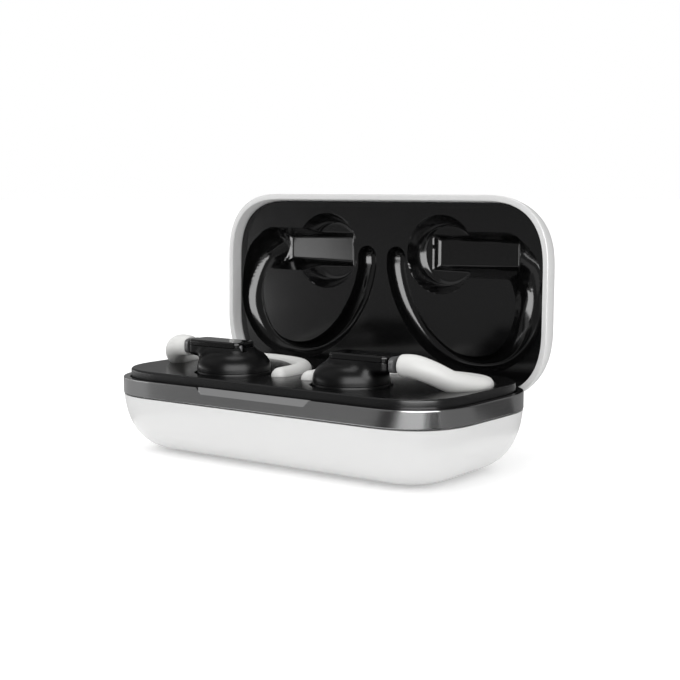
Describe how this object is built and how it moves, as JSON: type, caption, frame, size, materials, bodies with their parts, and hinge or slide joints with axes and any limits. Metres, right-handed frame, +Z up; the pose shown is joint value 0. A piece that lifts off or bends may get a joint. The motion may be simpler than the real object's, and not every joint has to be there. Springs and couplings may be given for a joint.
{
  "type": "wireless earbuds case",
  "caption": "Charging case for ear-hook wireless earbuds: dished white shells, a black band and deck with wells and grooves, a hinged lid with moulded pockets, and a mirrored pair of earbuds.",
  "frame": {"origin": "centre of the flat underside of the base", "axes": "+X to the wearer's right along the case's length, +Y from the front with the thumb notch to the hinge, +Z up; drawn with the lid open on its stop"},
  "size_m": [0.098, 0.0628, 0.0631],
  "materials": {
    "chip_black": "moulded black",
    "circuit_board": "green solder mask",
    "foil": "cell wrap",
    "gloss_black": "polished black",
    "gold": "gold plated",
    "grey_collar": "satin grey",
    "silicone": "soft black silicone",
    "soft_black": "satin black",
    "steel": "bright nickel",
    "white_hook": "soft matt white silicone over a flexible core",
    "white_shell": "satin white"
  },
  "bodies": {
    "base": {"base_deck": "gloss_black", "base_magnet_left": "steel", "base_magnet_right": "steel", "base_shell": "white_shell", "bracket_screw_left": "steel", "bracket_screw_right": "steel", "case_battery": "foil", "hinge_bracket": "steel", "hinge_pin": "steel", "hinge_spring": "steel", "lid_sensor": "chip_black", "main_board": "circuit_board", "pin_holder_left": "chip_black", "pin_holder_right": "chip_black", "seat_magnet_left": "steel", "seat_magnet_right": "steel", "trim_band": "gloss_black", "usb_socket": "steel", "usb_tongue": "chip_black"},
    "lid": {"lid_hinge_arm": "steel", "lid_magnet_left": "steel", "lid_magnet_right": "steel", "lid_shell": "white_shell", "lid_tray": "gloss_black"},
    "bud_left": {"bell_shell_left": "soft_black", "bud_battery_left": "foil", "bud_board_left": "circuit_board", "bud_magnet_left": "steel", "collar_left": "grey_collar", "ear_hook_left": "white_hook", "ear_tip_left": "silicone", "microphone_slot_left": "grey_collar", "nozzle_mesh_left": "steel", "outer_shell_left": "soft_black", "speaker_driver_left": "steel", "touch_cover_left": "gloss_black", "charge_pad_left_1": "gold", "charge_pad_left_2": "gold"},
    "bud_right": {"bell_shell_right": "soft_black", "bud_battery_right": "foil", "bud_board_right": "circuit_board", "bud_magnet_right": "steel", "collar_right": "grey_collar", "ear_hook_right": "white_hook", "ear_tip_right": "silicone", "microphone_slot_right": "grey_collar", "nozzle_mesh_right": "steel", "outer_shell_right": "soft_black", "speaker_driver_right": "steel", "touch_cover_right": "gloss_black", "charge_pad_right_1": "gold", "charge_pad_right_2": "gold"},
    "plunger_left_1_body": {"plunger_left_1": "gold"},
    "plunger_left_2_body": {"plunger_left_2": "gold"},
    "plunger_right_1_body": {"plunger_right_1": "gold"},
    "plunger_right_2_body": {"plunger_right_2": "gold"}
  },
  "joints": [
    {"name": "lid_hinge", "type": "hinge", "parent": "base", "child": "lid", "pos_m": [0, 0.02194, 0.0167], "axis": [-1, 0, 0], "range_deg": [-90.69, 0]},
    {"name": "left_earbud_lift", "type": "slide", "parent": "base", "child": "bud_left", "axis": [0, 0, 1], "range_m": [0, 0.04]},
    {"name": "right_earbud_lift", "type": "slide", "parent": "base", "child": "bud_right", "axis": [0, 0, 1], "range_m": [0, 0.04]},
    {"name": "plunger_left_1_press", "type": "slide", "parent": "base", "child": "plunger_left_1_body", "axis": [0, 0, 1], "range_m": [-0.0008, 0], "stiffness_N_per_m": 300},
    {"name": "plunger_left_2_press", "type": "slide", "parent": "base", "child": "plunger_left_2_body", "axis": [0, 0, 1], "range_m": [-0.0008, 0], "stiffness_N_per_m": 300},
    {"name": "plunger_right_1_press", "type": "slide", "parent": "base", "child": "plunger_right_1_body", "axis": [0, 0, 1], "range_m": [-0.0008, 0], "stiffness_N_per_m": 300},
    {"name": "plunger_right_2_press", "type": "slide", "parent": "base", "child": "plunger_right_2_body", "axis": [0, 0, 1], "range_m": [-0.0008, 0], "stiffness_N_per_m": 300}
  ]
}
